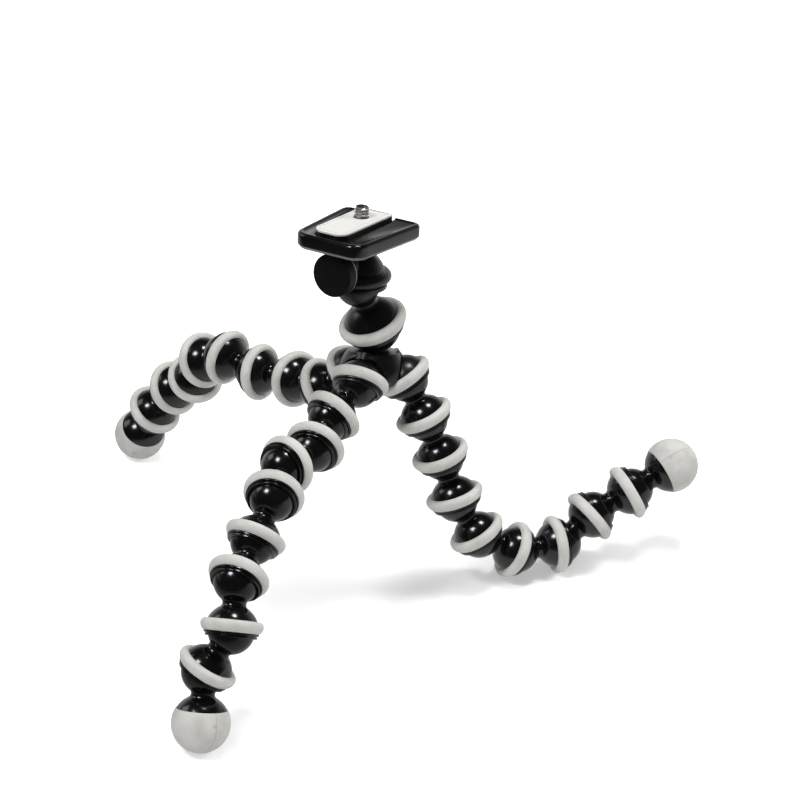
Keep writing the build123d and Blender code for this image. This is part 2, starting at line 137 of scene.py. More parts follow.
class Outline:
    """Half section of a turned piece, drawn run by run in the plane of radius and height."""

    def __init__(self, radius: float, height: float) -> None:
        """Start the section at a radius and a height, in millimetres."""
        self.mesh = bmesh.new()
        self.tip = self.mesh.verts.new((radius, 0.0, height))
        self.corners: list[tuple[bmesh.types.BMVert, float]] = []

    def to(self, radius: float, height: float, rounding: float = 0.0) -> "Outline":
        """Draw a straight run.

        Args:
            radius: Radius of the run's end.
            height: Height of the run's end.
            rounding: How far the corner at that end is cut back and rounded.

        Returns:
            The outline, for the next run.
        """
        self.tip = bmesh.ops.extrude_vert_indiv(self.mesh, verts=[self.tip])["verts"][0]
        self.tip.co = (radius, 0.0, height)
        if rounding:
            self.corners.append((self.tip, rounding))
        return self

    def arc(
        self, radius: float, height: float, end: float, rounding: float = 0.0, step: float = 5.0
    ) -> "Outline":
        """Draw an arc about a centre, the short way round.

        Args:
            radius: Radius of the arc's centre.
            height: Height of the arc's centre.
            end: Angle of the arc's end above level, in degrees.
            rounding: How far the corner at that end is cut back and rounded.
            step: Largest turn between two points, in degrees.

        Returns:
            The outline, for the next run.
        """
        start = degrees(atan2(self.tip.co.z - height, self.tip.co.x - radius))
        sweep = (end - start + 180.0) % 360.0 - 180.0
        spun = bmesh.ops.spin(
            self.mesh, geom=[self.tip], cent=(radius, 0.0, height), axis=(0.0, 1.0, 0.0),
            angle=radians(-sweep), steps=max(2, ceil(abs(sweep) / step)),
        )
        self.tip = spun["geom_last"][0]
        if rounding:
            self.corners.append((self.tip, rounding))
        return self

    def turned(self, steps: int) -> bmesh.types.BMesh:
        """Round the corners and spin the section about +Z into a closed skin.

        Args:
            steps: Number of facets round the piece.

        Returns:
            The skin, in millimetres.
        """
        for corner, rounding in self.corners:
            bmesh.ops.bevel(self.mesh, geom=[corner], offset=rounding, offset_type="OFFSET",
                            affect="VERTICES", segments=4, profile=0.5, material=-1)
        section = list(self.mesh.verts) + list(self.mesh.edges)
        bmesh.ops.spin(self.mesh, geom=section, cent=(0.0, 0.0, 0.0), axis=(0.0, 0.0, 1.0),
                       angle=2 * pi, steps=steps, use_merge=True)
        bmesh.ops.remove_doubles(self.mesh, verts=list(self.mesh.verts), dist=1e-3)
        bmesh.ops.recalc_face_normals(self.mesh, faces=list(self.mesh.faces))
        return self.mesh


def mesh_of(name: str, skin: bmesh.types.BMesh, keep: bool = False) -> bpy.types.Mesh:
    """Write a skin to a new mesh and free it, unless it's kept."""
    mesh = bpy.data.meshes.new(name)
    skin.to_mesh(mesh)
    if not keep:
        skin.free()
    return mesh


def shown(name: str, data: bpy.types.ID) -> bpy.types.Object:
    """Add an object that shows a mesh, a lamp or a camera to the scene."""
    thing = bpy.data.objects.new(name, data)
    bpy.context.scene.collection.objects.link(thing)
    return thing


def joined(into: bmesh.types.BMesh, other: bmesh.types.BMesh, place: Matrix) -> None:
    """Add a placed copy of one skin to another and free it.

    Args:
        into: The skin that receives the copy.
        other: The skin that is copied and freed.
        place: Where the copy goes, in the receiving skin's units.
    """
    carrier = mesh_of("carrier", other)
    carrier.transform(place)
    into.from_mesh(carrier)
    bpy.data.meshes.remove(carrier)


def mark(skin: bmesh.types.BMesh, low: float, high: float, steep: float, flat: float = 0.98) -> None:
    """Mark the slanted faces between two heights for the accent finish, which the knob and the tray use
    as a painted highlight.

    Args:
        skin: The skin, in millimetres.
        low: Height where the marked band starts.
        high: Height where it ends.
        steep: Least downward part of a marked face's normal.
        flat: Downward part of the normal from which a face counts as level.
    """
    skin.normal_update()
    for face in skin.faces:
        height = face.calc_center_median().z
        face.material_index = int(low < height < high and steep < -face.normal.z < flat)


def bored(skin: bmesh.types.BMesh, cutters: Iterable[bmesh.types.BMesh]) -> bmesh.types.BMesh:
    """Cut closed skins out of a closed skin and free them all.

    Args:
        skin: The skin that is cut.
        cutters: The skins that are taken away, in the same units and place.

    Returns:
        What is left.
    """
    names = {f"cut {number}": each for number, each in enumerate([skin, *cutters])}
    things = [shown(name, mesh_of(name, each)) for name, each in names.items()]
    for cutter in things[1:]:
        cut = things[0].modifiers.new(cutter.name, "BOOLEAN")
        cut.operation, cut.solver, cut.object = "DIFFERENCE", "EXACT", cutter
    result = bmesh.new()
    result.from_object(things[0], bpy.context.evaluated_depsgraph_get())
    for thing in things:
        mesh = thing.data
        bpy.data.objects.remove(thing)
        bpy.data.meshes.remove(mesh)
    return result


class Graph:
    """A shader tree with short calls that add linked nodes."""

    def __init__(self, tree: bpy.types.NodeTree) -> None:
        """Take the tree that the nodes go into."""
        self.tree = tree

    def fill(self, node: bpy.types.Node, values: dict[str | int, Source]) -> None:
        """Set or link a node's inputs.

        Args:
            node: The node.
            values: Value or source of its inputs, by name or number.
        """
        for key, value in values.items():
            if isinstance(value, bpy.types.NodeSocket):
                self.tree.links.new(value, node.inputs[key])
            else:
                node.inputs[key].default_value = value

    def add(self, kind: str, values: dict[str | int, Source], **settings: object) -> bpy.types.Node:
        """Add a node.

        Args:
            kind: The node's type, without "ShaderNode".
            values: Value or source of its inputs, by name or number.
            **settings: Its other settings, such as an operation.

        Returns:
            The node.
        """
        node = self.tree.nodes.new(f"ShaderNode{kind}")
        for name, setting in settings.items():
            setattr(node, name, setting)
        self.fill(node, values)
        return node

    def maths(self, operation: str, first: Source, second: Source) -> Source:
        """Join two values by a maths operation."""
        return self.add("Math", {0: first, 1: second}, operation=operation).outputs[0]

    def spread(
        self, value: Source, low: float, high: float, start: float = 0.0, end: float = 1.0
    ) -> Source:
        """Map a value that runs from start to end to one that runs from low to high."""
        values = {"Value": value, "From Min": start, "From Max": end, "To Min": low, "To Max": high}
        return self.add("MapRange", values).outputs["Result"]

    def blended(self, amount: Source, first: Source, second: Source) -> Source:
        """Blend two shaders by an amount."""
        return self.add("MixShader", {0: amount, 1: first, 2: second}).outputs[0]


class NodeMaterial(Graph):
    """A material under construction, with its Principled shader."""

    def __init__(self, name: str) -> None:
        """Start a material with a Principled shader."""
        self.material = bpy.data.materials.new(name)
        self.material.use_nodes = True
        super().__init__(self.material.node_tree)
        self.shader = self.tree.nodes["Principled BSDF"]
        self.place = self.add("TexCoord", {}).outputs["Object"]

    def group(self, tree: bpy.types.NodeTree, **values: float) -> Source:
        """Place a shared group that reads Object coordinates.

        Args:
            tree: The group's tree.
            **values: Values of its inputs.

        Returns:
            Its mask.
        """
        return self.add("Group", {"Place": self.place, **values}, node_tree=tree).outputs["Mask"]

    def mix(self, amount: Source, low: Source, high: Source) -> Source:
        """Mix two colours, given or read from a socket, by a mask."""
        low, high = [(*each, 1.0) if isinstance(each, tuple) else each for each in (low, high)]
        return self.add("Mix", {0: amount, 6: low, 7: high}, data_type="RGBA").outputs[2]

    def bump(self, height: Source, depth: float, rounding: float = 0.0) -> None:
        """Feed a height to the shader's normal.

        Args:
            height: The height's source.
            depth: Depth of the relief, in metres.
            rounding: How far sharp corners look rounded, in metres.
        """
        values = {"Height": height, "Distance": depth, "Strength": 1.0}
        if rounding:
            values["Normal"] = self.add("Bevel", {"Radius": rounding}).outputs["Normal"]
        self.fill(self.shader, {"Normal": self.add("Bump", values).outputs["Normal"]})


class SharedEffects:
    """Shader node groups that several finishes use, each built once."""

    def __init__(self) -> None:
        """Build the groups."""
        self.grain = self._noise_group("moulded grain", detail=4.0)
        self.cloud = self._noise_group("soft clouding", detail=2.0)
        self.dust = self._dust_group()

    @staticmethod
    def _opened(name: str, *inputs: str) -> tuple[Graph, bpy.types.bpy_prop_collection]:
        """Start a group.

        Args:
            name: The group's name.
            *inputs: Names of its inputs beside Place.

        Returns:
            Its graph and the sources of its inputs.
        """
        tree = bpy.data.node_groups.new(name, "ShaderNodeTree")
        tree.interface.new_socket("Place", in_out="INPUT", socket_type="NodeSocketVector")
        for each in inputs:
            tree.interface.new_socket(each, in_out="INPUT", socket_type="NodeSocketFloat")
        tree.interface.new_socket("Mask", in_out="OUTPUT", socket_type="NodeSocketFloat")
        return Graph(tree), tree.nodes.new("NodeGroupInput").outputs

    @staticmethod
    def _closed(graph: Graph, mask: Source) -> bpy.types.NodeTree:
        """Feed the group's mask and return the group."""
        graph.fill(graph.tree.nodes.new("NodeGroupOutput"), {"Mask": mask})
        return graph.tree

    def _noise_group(self, name: str, detail: float, roughness: float = 0.55) -> bpy.types.NodeTree:
        """Build a group that gives a noise of a chosen size.

        Args:
            name: The group's name.
            detail: Octaves of the noise.
            roughness: How strong the finer octaves are.

        Returns:
            The group, with Place and Size inputs and a Mask output.
        """
        graph, inputs = self._opened(name, "Size")
        scale = graph.maths("DIVIDE", 1.0, inputs["Size"])
        noise = graph.add("TexNoise", {
            "Vector": inputs["Place"], "Scale": scale, "Detail": detail, "Roughness": roughness,
        })
        return self._closed(graph, noise.outputs["Fac"])

    def _dust_group(self, clouds_per_metre: float = 60.0) -> bpy.types.NodeTree:
        """Build a group that gives sparse specks of dust, gathered in clouds.

        Args:
            clouds_per_metre: Scale of the clouds.

        Returns:
            The group, with Place, Size and Amount inputs and a Mask output.
        """
        graph, inputs = self._opened("dust specks", "Size", "Amount")
        scale = graph.maths("DIVIDE", 1.0, inputs["Size"])
        cells = graph.add("TexVoronoi", {"Vector": inputs["Place"], "Scale": scale})
        speck = graph.spread(cells.outputs["Distance"], 0.0, 1.0, start=0.16, end=0.06)
        clouds = graph.add("TexNoise", {"Vector": inputs["Place"], "Scale": clouds_per_metre})
        gathered = graph.spread(clouds.outputs["Fac"], 0.0, 1.0, start=0.52, end=0.66)
        both = graph.maths("MULTIPLY", speck, gathered)
        return self._closed(graph, graph.maths("MULTIPLY", both, inputs["Amount"]))


@dataclass(frozen=True)
class Finish:
    """A procedural finish that each kind of material fills in."""

    name: str

    def made(self, effects: SharedEffects) -> bpy.types.Material:
        """Build the material.

        Args:
            effects: The shared node groups.

        Returns:
            The material.
        """
        build = NodeMaterial(self.name)
        self.fill_in(build, effects)
        return build.material

    def fill_in(self, build: NodeMaterial, effects: SharedEffects) -> None:
        """Add the finish's nodes to a material."""
        raise NotImplementedError


@dataclass(frozen=True)
class MouldedPlastic(Finish):
    """Black injection-moulded plastic with a faint orange-peel skin and a little dust."""

    sheen: Sheen
    colour: Colour = (0.0018, 0.0018, 0.0020)
    worn: Colour = (0.0046, 0.0046, 0.0051)
    dusty: Colour = (0.07, 0.07, 0.07)
    cloud_size: float = 0.006
    speck_size: float = 0.0007
    dust: float = 0.5
    peel_size: float = 0.0011
    peel_depth: float = 0.000006
    rounding: float = 0.0
    ior: float = 1.52

    def fill_in(self, build: NodeMaterial, effects: SharedEffects) -> None:
        """Add clouding, dust and the orange peel."""
        smooth, wander, strength = self.sheen.value
        cloud = build.group(effects.cloud, Size=self.cloud_size)
        specks = build.group(effects.dust, Size=self.speck_size, Amount=self.dust)
        build.fill(build.shader, {
            "Base Color": build.mix(specks, build.mix(cloud, self.colour, self.worn), self.dusty),
            "Roughness": build.spread(cloud, smooth - wander / 2, smooth + wander / 2),
            "IOR": self.ior,
            "Specular IOR Level": strength,
        })
        build.bump(build.group(effects.grain, Size=self.peel_size), self.peel_depth, self.rounding)


@dataclass(frozen=True)
class GripRubber(Finish):
    """Light warm-grey rubber with a fine matt skin and faint handling marks."""

    colour: Colour = (0.60, 0.59, 0.565)
    marked: Colour = (0.47, 0.46, 0.435)
    mark_size: float = 0.009
    contrast: tuple[float, float] = (-1.0, 1.6)
    roughness: tuple[float, float] = (0.54, 0.68)
    mirroring: float = 0.35
    grain_size: float = 0.00035
    grain_depth: float = 0.000012

    def fill_in(self, build: NodeMaterial, effects: SharedEffects) -> None:
        """Add the handling marks and the fine grain."""
        cloud = build.group(effects.cloud, Size=self.mark_size)
        build.fill(build.shader, {
            "Base Color": build.mix(build.spread(cloud, *self.contrast), self.colour, self.marked),
            "Roughness": build.spread(cloud, *self.roughness),
            "Specular IOR Level": self.mirroring,
        })
        build.bump(build.group(effects.grain, Size=self.grain_size), self.grain_depth)


@dataclass(frozen=True)
class GrainedPad(Finish):
    """Light grey plastic of the quick-release plate, with a fine even grain."""

    colour: Colour = (0.73, 0.72, 0.70)
    hollow: Colour = (0.66, 0.65, 0.63)
    roughness: tuple[float, float] = (0.66, 0.5)
    grain_size: float = 0.00028
    grain_depth: float = 0.00003

    def fill_in(self, build: NodeMaterial, effects: SharedEffects) -> None:
        """Add the grain."""
        grain = build.group(effects.grain, Size=self.grain_size)
        build.fill(build.shader, {
            "Base Color": build.mix(grain, self.hollow, self.colour),
            "Roughness": build.spread(grain, *self.roughness),
        })
        build.bump(grain, self.grain_depth)


@dataclass(frozen=True)
class TurnedSteel(Finish):
    """Nickel-plated turned steel of the camera screw."""

    colour: Colour = (0.58, 0.57, 0.55)
    dark: Colour = (0.34, 0.33, 0.32)
    cloud_size: float = 0.0015
    roughness: tuple[float, float] = (0.24, 0.36)
    grain_size: float = 0.0002
    grain_depth: float = 0.000006

    def fill_in(self, build: NodeMaterial, effects: SharedEffects) -> None:
        """Add clouding and the fine turned skin."""
        cloud = build.group(effects.cloud, Size=self.cloud_size)
        build.fill(build.shader, {
            "Base Color": build.mix(cloud, self.dark, self.colour),
            "Roughness": build.spread(cloud, *self.roughness),
            "Metallic": 1.0,
        })
        build.bump(build.group(effects.grain, Size=self.grain_size), self.grain_depth)


@dataclass(frozen=True)
class Coat:
    """A material and the record's slot that it stands for."""

    material: bpy.types.Material
    slot: Slot


class Finishes:
    """Every finish of the tripod, made once."""

    def __init__(self) -> None:
        """Make the materials."""
        effects = SharedEffects()
        gloss = MouldedPlastic("polished black plastic", Sheen.POLISHED)
        satin = MouldedPlastic("satin black plastic", Sheen.SATIN, rounding=0.0003)
        matt = MouldedPlastic("matt black plastic", Sheen.MATT, peel_depth=0.00001)
        tray = MouldedPlastic("polished tray plastic", Sheen.POLISHED, rounding=0.0002)
        # Painted highlight: a lighter grey plastic that stands in for the reflection along the tray's
        # lower bevel and the knob's rear rim.
        painted_highlight = MouldedPlastic("painted highlight plastic edge", Sheen.SATIN, colour=(0.13, 0.13, 0.135),
                                worn=(0.19, 0.19, 0.195), dust=0.0)
        # Painted shade: a darker rubber that stands in for the shade in the foot caps' parting seam and
        # gate mark.
        painted_seam_shade = GripRubber("painted seam shade rubber", colour=(0.46, 0.45, 0.43), marked=(0.34, 0.33, 0.315))
        self.gloss = Coat(gloss.made(effects), Slot.GLOSS)
        self.satin = Coat(satin.made(effects), Slot.SATIN)
        self.matt = Coat(matt.made(effects), Slot.SATIN)
        self.tray = Coat(tray.made(effects), Slot.GLOSS)
        self.painted_highlight = Coat(painted_highlight.made(effects), Slot.SATIN)
        self.rubber = Coat(GripRubber("grip rubber").made(effects), Slot.RUBBER)
        self.painted_seam_shade = Coat(painted_seam_shade.made(effects), Slot.RUBBER)
        self.pad = Coat(GrainedPad("plate pad").made(effects), Slot.PLATE)
        self.steel = Coat(TurnedSteel("screw steel").made(effects), Slot.STEEL)


@dataclass
class Bench:
    """Turns finished skins into pieces that ride on the frame's bodies."""

    finishes: Finishes
    sharp: float = 40.0
    made: list[str] = field(default_factory=list)

    def piece(
        self, name: str, skin: bmesh.types.BMesh, place: Matrix, coat: Coat, body: str,
        stands_for: Iterable[str] = (), keep: bool = False, accent: Coat | None = None,
    ) -> bpy.types.Object:
        """Make a piece of a skin and let it ride on a body.

        Args:
            name: The piece's name.
            skin: Its closed skin, in millimetres.
            place: From its own millimetres to the frame's metres.
            coat: Its finish.
            body: The body that carries it.
            stands_for: CAD nodes that it replaces.
            keep: Whether the skin is used again.
            accent: Finish of the faces that the skin marks with material 1.

        Returns:
            The piece's object.
        """
        mesh = mesh_of(name, skin, keep)
        mesh.transform(place)
        mesh.shade_smooth()
        mesh.set_sharp_from_angle(angle=radians(self.sharp))
        mesh.materials.append(coat.material)
        if accent:
            mesh.materials.append(accent.material)
        thing = shown(name, mesh)
        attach(thing, body)
        if stands_for:
            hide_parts(*stands_for)
        self.made.append(name)
        LOG.info("%s rides on %s with %d faces", name, body, len(mesh.polygons))
        return thing


@dataclass(frozen=True)
class BallSocket:
    """A socket about the centre of the ball it holds, in millimetres, with its mouth along +Z."""

    ball: float = 9.45
    wall: float = 1.45
    lip: float = 2.5
    ring_proud: float = 1.7
    ring_setback: float = 2.6
    ring_dome_side: float = 1.8
    ring_lip_side: float = 3.0
    gap: float = 0.1
    seat_depth: float = 0.5
    collar_proud: float = 0.1
    collar_length: float = 0.9
    collar_edges: tuple[float, float] = (0.15, 0.28)
    rim: float = 1.3
    rim_step: float = 0.18
    rim_step_height: float = 0.3
    rim_edges: tuple[float, float, float] = (0.08, 0.35, 0.12)
    blend: float = 1.75

    @property
    def cup(self) -> float:
        """Radius of the cup."""
        return self.ball + self.gap

    @property
    def dome(self) -> float:
        """Outside radius of the dome."""
        return self.cup + self.wall

    @property
    def crown(self) -> float:
        """Outside radius of the grip ring."""
        return self.dome + self.ring_proud

    @property
    def collar(self) -> float:
        """Outside radius of the collar beyond the ring."""
        return self.dome + self.collar_proud

    @property
    def dome_edge(self) -> float:
        """Height where the dome ends and the ring starts."""
        return -self.ring_setback - self.ring_dome_side

    @property
    def lip_edge(self) -> float:
        """Height where the ring ends and the collar starts."""
        return self.ring_lip_side - self.ring_setback

    def draw_mouth(self, pen: Outline, centre: float) -> None:
        """Draw from the end of the dome over the ring's seat, the lip and the cup, back to the axis.

        Args:
            pen: The section so far, ending on the dome's edge.
            centre: Height of the socket's ball.
        """
        edge = half_width(self.dome, self.dome_edge)
        mouth = half_width(self.cup, self.lip)
        rim = mouth + self.rim
        lip_edge, lip = centre + self.lip_edge, centre + self.lip
        step = lip_edge + self.collar_length
        lower, upper = self.collar_edges
        inner, outer, mouth_edge = self.rim_edges
        pen.to(edge - self.seat_depth, centre + self.dome_edge)
        pen.to(self.collar - self.seat_depth, lip_edge)
        pen.to(self.collar, lip_edge, lower).to(self.collar, step, upper)
        pen.to(rim - self.rim_step, step).to(rim - self.rim_step, step + self.rim_step_height)
        pen.to(rim, step + self.rim_step_height, inner).to(rim, lip, outer)
        pen.to(mouth, lip, mouth_edge).arc(0.0, centre, -90.0)


@dataclass(frozen=True)
class BallEnd:
    """The ball and neck that start every link and foot, in millimetres."""

    radius: float = 9.45
    cut: float = 7.2
    cut_edge: float = 0.4
    neck: float = 4.8

    def reach(self, outer: float, blend: float) -> float:
        """Height of a neck blend's centre above the centre of a sphere."""
        return sqrt((outer + blend) ** 2 - (self.neck + blend) ** 2)

    def pitch(self, dome: float, blend: float) -> float:
        """Distance from this ball's centre to the centre of the dome beyond the neck."""
        return self.reach(self.radius, blend) + self.reach(dome, blend)

    def drawn(self, dome: float, blend: float) -> Outline:
        """Draw the ball and the neck up to where they run into a dome.

        Args:
            dome: The dome's radius.
            blend: Radius of the neck's hollow curve.

        Returns:
            The section so far.
        """
        turn, beyond = self.reach(self.radius, blend), self.reach(dome, blend)
        off_ball = degrees(atan2(turn, self.neck + blend))
        on_dome = degrees(atan2(beyond, self.neck + blend))
        pen = Outline(0.0, -self.cut)
        pen.to(half_width(self.radius, self.cut), -self.cut, self.cut_edge)
        return pen.arc(0.0, 0.0, off_ball).arc(self.neck + blend, turn, 180.0 - on_dome, step=8.0)


class LinkKit:
    """Skins that links of one size share: the link and its grip ring with its mould's gate nub."""

    lip_rounding = 0.1
    gate = 0.55
    gate_sunk = 0.42
    gate_side = 0.3

    def __init__(self, socket: BallSocket, end: BallEnd, steps: int = 96) -> None:
        """Build the skins.

        Args:
            socket: Sizes of the link's socket.
            end: Sizes of its ball and neck.
            steps: Facets round each piece.
        """
        self.socket, self.end, self.steps = socket, end, steps
        self.pitch = end.pitch(socket.dome, socket.blend)
        self.link = self._link()
        self.ring = self._ring()

    def _link(self) -> bmesh.types.BMesh:
        """Spin the link's section."""
        socket = self.socket
        pen = self.end.drawn(socket.dome, socket.blend)
        pen.arc(0.0, self.pitch, angle_at(socket.dome, socket.dome_edge), step=4.0)
        socket.draw_mouth(pen, self.pitch)
        return pen.turned(self.steps)

    def _ring(self) -> bmesh.types.BMesh:
        """Spin the ring's section and add the small gate nub left by its mould."""
        socket = self.socket
        edge = half_width(socket.dome, socket.dome_edge)
        crown, widest = socket.crown, -socket.ring_setback
        pen = Outline(edge, socket.dome_edge)
        pen.to(edge - socket.seat_depth, socket.dome_edge)
        pen.to(socket.collar - socket.seat_depth, socket.lip_edge)
        pen.to(socket.collar, socket.lip_edge, self.lip_rounding)
        rise, proud = socket.lip_edge - widest, crown - socket.collar
        radius = (proud * proud + rise * rise) / (2 * proud)
        pen.arc(crown - radius, widest, 0.0, step=4.0)
        fall, drop = widest - socket.dome_edge, crown - edge
        radius = (fall * fall + drop * drop) / (2 * drop)
        end = degrees(atan2(socket.dome_edge - widest, edge - crown + radius))
        skin = pen.arc(crown - radius, widest, end, step=8.0).turned(self.steps)
        gate = bmesh.new()
        bmesh.ops.create_uvsphere(gate, u_segments=16, v_segments=8, radius=self.gate)
        joined(skin, gate, Matrix.Translation((crown - self.gate_sunk, 0.0, widest + self.gate_side)))
        return skin


@dataclass
class Foot:
    """A foot: a glossy stem with its ball and half dome, and a rubber cap moulded over it."""

    end: BallEnd
    radius: float = 12.0
    edge: float = 5.7
    step: float = 0.25
    cap_edge: float = 0.3
    stud: float = 7.0
    stud_length: float = 3.0
    blend: float = 1.75
    steps: int = 128

    @property
    def centre(self) -> float:
        """Height of the cap's centre above the ball's centre."""
        return self.end.pitch(self.radius - self.step, self.blend)

    def stem(self) -> bmesh.types.BMesh:
        """Spin the stem with the stud that the cap grips."""
        shell = self.radius - self.step
        pen = self.end.drawn(shell, self.blend)
        pen.arc(0.0, self.centre, angle_at(shell, -self.edge), step=4.0)
        pen.to(self.stud, self.centre - self.edge).to(self.stud, self.centre + self.stud_length)
        return pen.to(0.0, self.centre + self.stud_length).turned(self.steps)

    def cap(self) -> bmesh.types.BMesh:
        """Spin the cap and press its mould's parting seam into it."""
        pen = Outline(0.0, self.centre + self.stud_length)
        pen.to(self.stud, self.centre + self.stud_length).to(self.stud, self.centre - self.edge)
        pen.to(half_width(self.radius, self.edge), self.centre - self.edge, self.cap_edge)
        skin = pen.arc(0.0, self.centre, 90.0, step=3.0).turned(self.steps)
        self._press_seam(skin)
        self._mark_gate(skin)
        return skin

    def _mark_gate(self, skin: bmesh.types.BMesh, size: float = 0.55, wire: float = 0.12,
                   around: float = 3.4, down: float = 93.0) -> None:
        """Set the small round mark of the mould's gate beside the seam, with the darker rubber of painted
        shade on its faces.

        Args:
            skin: The cap's skin.
            size: Radius of the mark.
            wire: Radius of its raised line.
            around: Turn about the cap's axis from the seam, in degrees.
            down: Angle from the cap's tip, in degrees.
        """
        gate = bmesh.new()
        bmesh.ops.create_circle(gate, segments=8, radius=wire)
        gate.transform(Matrix.Translation((size, 0.0, 0.0)) @ Matrix.Rotation(pi / 2, 4, "X"))
        bmesh.ops.spin(gate, geom=list(gate.verts) + list(gate.edges), cent=(0.0, 0.0, 0.0),
                       axis=(0.0, 0.0, 1.0), angle=2 * pi, steps=24, use_merge=True)
        bmesh.ops.recalc_face_normals(gate, faces=list(gate.faces))
        # Painted shade: the mark's faces take the darker rubber.
        for face in gate.faces:
            face.material_index = 1
        middle, out = [Matrix.Translation((0.0, 0.0, rise)) for rise in (self.centre, self.radius)]
        turn = Matrix.Rotation(radians(around), 4, "Z") @ Matrix.Rotation(radians(down), 4, "Y")
        joined(skin, gate, middle @ turn @ out)

    def _press_seam(self, skin: bmesh.types.BMesh, depth: float = 0.12, width: float = 0.10,
                    near: float = 0.05, clear: float = 0.2) -> None:
        """Press a fine groove along the plane of the parting line and give its faces the darker rubber of
        painted shade.

        Args:
            skin: The cap's skin.
            depth: Depth of the groove.
            width: Half width of the groove.
            near: How close to the cap's round a pressed point lies, and how far it is above its edge.
            clear: How far a pressed point lies from the axis, on the seam's side.
        """
        for offset in (-width, 0.0, width):
            geometry = list(skin.verts) + list(skin.edges) + list(skin.faces)
            bmesh.ops.bisect_plane(skin, geom=geometry, dist=1e-4, plane_co=(0.0, offset, 0.0),
                                   plane_no=(0.0, 1.0, 0.0))
        middle, low = Vector((0.0, 0.0, self.centre)), self.centre - self.edge + near
        for vert in skin.verts:
            out = vert.co - middle
            on_plane = vert.co.x > clear and vert.co.z > low and abs(vert.co.y) < 1e-3
            if on_plane and abs(out.length - self.radius) < near:
                vert.co -= out.normalized() * depth
                # Painted shade: the groove's faces take the darker rubber.
                for face in vert.link_faces:
                    face.material_index = 1


@dataclass(frozen=True)
class RoundedPlate:
    """Outline with four rounded corners in the XY plane, in millimetres, that can be moved inwards."""

    corners: tuple[Point, ...]
    radii: tuple[float, ...]
    steps: int = 12

    def ring(self, inset: float) -> list[Point]:
        """Points of the outline, counter-clockwise.

        Args:
            inset: How far the outline is moved inwards.

        Returns:
            The points as X and Y.
        """
        points = []
        for number, (x, y) in enumerate(self.corners):
            corner = Vector((x, y))
            before = (Vector(self.corners[number - 1]) - corner).normalized()
            after = (Vector(self.corners[(number + 1) % len(self.corners)]) - corner).normalized()
            half = acos(max(-1.0, min(1.0, before.dot(after)))) / 2
            radius = self.radii[number]
            centre = corner + (before + after).normalized() * radius / sin(half)
            start = corner + before * radius / tan(half) - centre
            turn = (pi - 2 * half) / self.steps
            for step in range(self.steps + 1):
                spoke = Matrix.Rotation(turn * step, 2) @ start.normalized()
                points.append(tuple(centre + spoke * (radius - inset)))
        return points

    def lofted(self, section: Iterable[Point]) -> bmesh.types.BMesh:
        """Loft the outline through a section and close it at both ends.

        Args:
            section: The inset and the height of each ring, from the bottom up.

        Returns:
            The closed skin.
        """
        skin = bmesh.new()
        rings = [
            [skin.verts.new((x, y, height)) for x, y in self.ring(inset)] for inset, height in section
        ]
        skin.faces.new(reversed(rings[0]))
        skin.faces.new(rings[-1])
        for low, high in zip(rings, rings[1:]):
            for number, vert in enumerate(low):
                after = (number + 1) % len(low)
                skin.faces.new((vert, low[after], high[after], high[number]))
        bmesh.ops.recalc_face_normals(skin, faces=list(skin.faces))
        return skin


def quarter(inset: float, height: float, radius: float, up: bool, steps: int = 6) -> list[Point]:
    """Rings of a rounded edge that runs up and inwards.

    Args:
        inset: Inset of the edge's outermost ring.
        height: Height of the flat that the edge meets.
        radius: Radius of the rounding.
        up: Whether the edge is a top one.

    Returns:
        The inset and the height of each ring, from the bottom up.
    """
    turns = [pi / 2 * step / steps for step in range(steps + 1)]
    if up:
        return [(inset + radius * (1 - cos(turn)), height - radius * (1 - sin(turn))) for turn in turns]
    return [(inset + radius * (1 - sin(turn)), height + radius * (1 - cos(turn))) for turn in turns]


